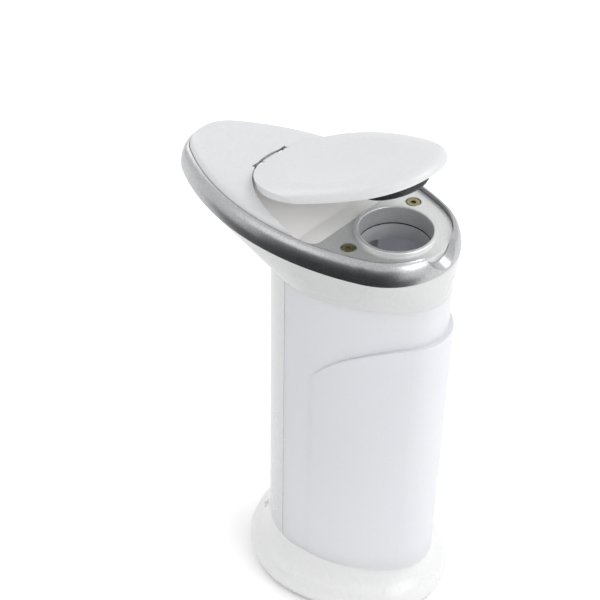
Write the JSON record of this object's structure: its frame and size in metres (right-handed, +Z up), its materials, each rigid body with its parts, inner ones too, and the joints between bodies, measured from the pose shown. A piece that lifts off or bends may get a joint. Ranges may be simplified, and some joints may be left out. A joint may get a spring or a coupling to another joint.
{
  "type": "automatic soap dispenser",
  "caption": "Touch-free soap dispenser with a flared head, frosted tank, silver trim ring, hinged lid over a round fill mouth, and a battery roller pump.",
  "frame": {"origin": "on the table surface, under the middle of the foot", "axes": "+Z up, -Y towards the spout and sensor at the front, X across the body"},
  "size_m": [0.0694, 0.1182, 0.1895],
  "materials": {
    "white_shell": "satin",
    "frosted_tank": "frosted",
    "silver_trim": "metallic paint",
    "black_rubber": "matt",
    "screw_brass": "satin",
    "screw_steel": "bright",
    "motor_steel": "satin",
    "contact_nickel": "bright",
    "battery_sleeve": "satin",
    "sensor_dark": "gloss",
    "diode_clear": "gloss",
    "board_green": "satin",
    "gear_acetal": "satin",
    "silicone_hose": "satin",
    "switch_black": "satin"
  },
  "bodies": {
    "housing": {"base_foot": "white_shell", "base_plate": "white_shell", "battery_1": "battery_sleeve", "battery_2": "battery_sleeve", "battery_3": "battery_sleeve", "battery_contacts_back": "contact_nickel", "battery_contacts_front": "contact_nickel", "control_board": "board_green", "deck_plate": "silver_trim", "deck_screw_1": "screw_brass", "deck_screw_2": "screw_brass", "foot_pad_1": "black_rubber", "foot_pad_2": "black_rubber", "foot_pad_3": "black_rubber", "foot_pad_4": "black_rubber", "foot_screw_1": "screw_steel", "foot_screw_2": "screw_steel", "head_shell": "white_shell", "hinge_pin": "screw_steel", "hinge_well": "white_shell", "infrared_receiver": "diode_clear", "infrared_sender": "diode_clear", "intake_hose": "silicone_hose", "motor": "motor_steel", "neck_seal": "black_rubber", "outlet_hose": "silicone_hose", "outlet_seal": "black_rubber", "pump_housing": "gear_acetal", "pump_tube": "silicone_hose", "sensor_board": "board_green", "sensor_lens": "sensor_dark", "spine_shell": "white_shell", "spout": "white_shell", "switch_body": "white_shell", "tank": "frosted_tank", "top_cover": "white_shell", "trim_ring": "silver_trim"},
    "lid": {"lid": "white_shell", "lid_stopper": "black_rubber"},
    "rotor": {"pump_rotor": "gear_acetal"},
    "pinion": {"motor_pinion": "gear_acetal"},
    "roller_1": {"pump_roller_1": "gear_acetal"},
    "roller_2": {"pump_roller_2": "gear_acetal"},
    "roller_3": {"pump_roller_3": "gear_acetal"},
    "battery_door": {"battery_door": "white_shell", "door_pad": "black_rubber"},
    "switch_knob": {"switch_knob": "switch_black"}
  },
  "joints": [
    {"name": "lid_hinge", "type": "hinge", "parent": "housing", "child": "lid", "pos_m": [0, -0.0416, 0.1632], "axis": [1, 0, 0], "range_deg": [-21.5, 36.5]},
    {"name": "rotor_spin", "type": "hinge", "parent": "housing", "child": "rotor", "pos_m": [0, -0.0386, 0.1523], "axis": [0, 0, 1], "continuous": true},
    {"name": "pinion_spin", "type": "hinge", "parent": "housing", "child": "pinion", "pos_m": [0, -0.02295, 0.1558], "axis": [0, 0, 1], "continuous": true},
    {"name": "door_release", "type": "slide", "parent": "housing", "child": "battery_door", "axis": [0, 0, -1], "range_m": [0, 0.012]},
    {"name": "switch_slide", "type": "slide", "parent": "housing", "child": "switch_knob", "axis": [1, 0, 0], "range_m": [0, 0.003]},
    {"name": "roller_1_spin", "type": "hinge", "parent": "rotor", "child": "roller_1", "pos_m": [0, -0.0326, 0.1523], "axis": [0, 0, 1], "continuous": true},
    {"name": "roller_2_spin", "type": "hinge", "parent": "rotor", "child": "roller_2", "pos_m": [-0.0052, -0.0416, 0.1523], "axis": [0, 0, 1], "continuous": true},
    {"name": "roller_3_spin", "type": "hinge", "parent": "rotor", "child": "roller_3", "pos_m": [0.0052, -0.0416, 0.1523], "axis": [0, 0, 1], "continuous": true}
  ],
  "couplings": [
    {"joint": "pinion_spin", "follows": "rotor_spin", "ratio": -3.3333},
    {"joint": "roller_1_spin", "follows": "rotor_spin", "ratio": -4},
    {"joint": "roller_2_spin", "follows": "rotor_spin", "ratio": -4},
    {"joint": "roller_3_spin", "follows": "rotor_spin", "ratio": -4}
  ]
}
